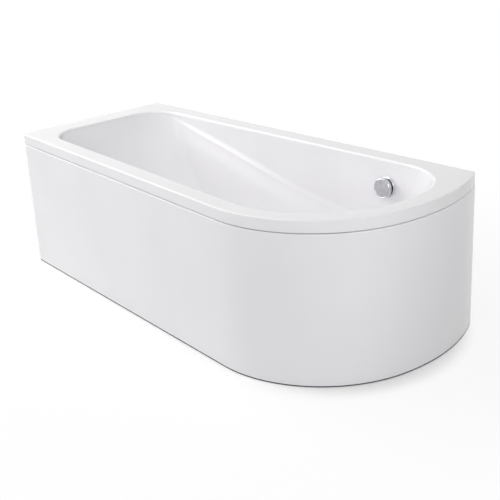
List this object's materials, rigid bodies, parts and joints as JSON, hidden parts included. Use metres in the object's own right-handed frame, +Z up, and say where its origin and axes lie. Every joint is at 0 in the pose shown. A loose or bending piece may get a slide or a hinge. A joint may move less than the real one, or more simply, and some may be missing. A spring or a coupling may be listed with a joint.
{
  "type": "shower bath",
  "caption": "Shower bath with a straight tapering front that widens into a round tap end, a one-piece curved panel, a pop-up waste turned by the overflow knob, and levelling feet.",
  "frame": {"origin": "on the floor, under the middle of the bath's outline", "axes": "+X along the bath from the head end to the curved tap end, +Y to the room wall behind the bath, +Z up"},
  "size_m": [1.6999, 0.75, 0.52],
  "materials": {
    "acrylic_white": "high gloss",
    "panel_white": "gloss",
    "timber": "sawn",
    "chipboard": "pressed chip",
    "zinc_steel": "zinc plated",
    "chrome": "polished",
    "pad_plastic": "moulded",
    "clip_plastic": "moulded",
    "pipe_plastic": "moulded",
    "rubber_black": "matt"
  },
  "bodies": {
    "bath": {"tub_shell": "acrylic_white", "baseboard": "chipboard", "front_rail": "timber", "back_rail": "timber", "head_rail": "timber", "curved_rail": "timber", "panel_clips": "clip_plastic", "clip_screws": "zinc_steel", "floor_batten": "timber", "floor_blocks": "timber", "channel_head": "zinc_steel", "channel_tap": "zinc_steel", "hat_bracket": "zinc_steel", "frame_screws": "zinc_steel", "lock_nuts": "zinc_steel", "wall_brackets": "zinc_steel", "bracket_screws": "zinc_steel", "waste_flange": "chrome", "flange_gasket": "rubber_black", "floor_gasket": "rubber_black", "waste_body": "pipe_plastic", "trap": "pipe_plastic", "trap_nut": "pipe_plastic", "outlet_nut": "pipe_plastic", "overflow_rosette": "chrome", "overflow_gasket": "rubber_black", "overflow_body": "pipe_plastic", "overflow_pipe": "pipe_plastic", "pipe_nuts": "pipe_plastic"},
    "knob": {"overflow_knob": "chrome", "overflow_spindle": "chrome"},
    "waste_plug": {"plug": "chrome", "plug_seal": "rubber_black"},
    "panel": {"front_panel": "panel_white"},
    "foot_head_wall": {"stud_head_wall": "zinc_steel", "pad_head_wall": "pad_plastic"},
    "foot_head_front": {"stud_head_front": "zinc_steel", "pad_head_front": "pad_plastic"},
    "foot_tap_wall": {"stud_tap_wall": "zinc_steel", "pad_tap_wall": "pad_plastic"},
    "foot_tap_front": {"stud_tap_front": "zinc_steel", "pad_tap_front": "pad_plastic"},
    "foot_middle": {"stud_middle": "zinc_steel", "pad_middle": "pad_plastic"}
  },
  "joints": [
    {"name": "knob_turn", "type": "hinge", "parent": "bath", "child": "knob", "pos_m": [0.48213, 0.30202, 0.429], "axis": [0, -0.9982, 0.0599], "range_deg": [0, 90]},
    {"name": "plug_lift", "type": "slide", "parent": "bath", "child": "waste_plug", "axis": [0, 0, 1], "range_m": [0, 0.01]},
    {"name": "panel_release", "type": "slide", "parent": "bath", "child": "panel", "axis": [0.8, -0.6, 0], "range_m": [0, 0.12]},
    {"name": "level_head_wall", "type": "slide", "parent": "bath", "child": "foot_head_wall", "axis": [0, 0, 1], "range_m": [-0.02, 0.01]},
    {"name": "level_head_front", "type": "slide", "parent": "bath", "child": "foot_head_front", "axis": [0, 0, 1], "range_m": [-0.02, 0.01]},
    {"name": "level_tap_wall", "type": "slide", "parent": "bath", "child": "foot_tap_wall", "axis": [0, 0, 1], "range_m": [-0.02, 0.01]},
    {"name": "level_tap_front", "type": "slide", "parent": "bath", "child": "foot_tap_front", "axis": [0, 0, 1], "range_m": [-0.02, 0.01]},
    {"name": "level_middle", "type": "slide", "parent": "bath", "child": "foot_middle", "axis": [0, 0, 1], "range_m": [-0.02, 0.01]}
  ],
  "couplings": [
    {"joint": "plug_lift", "follows": "knob_turn", "m_per_rad": 0.00636}
  ]
}
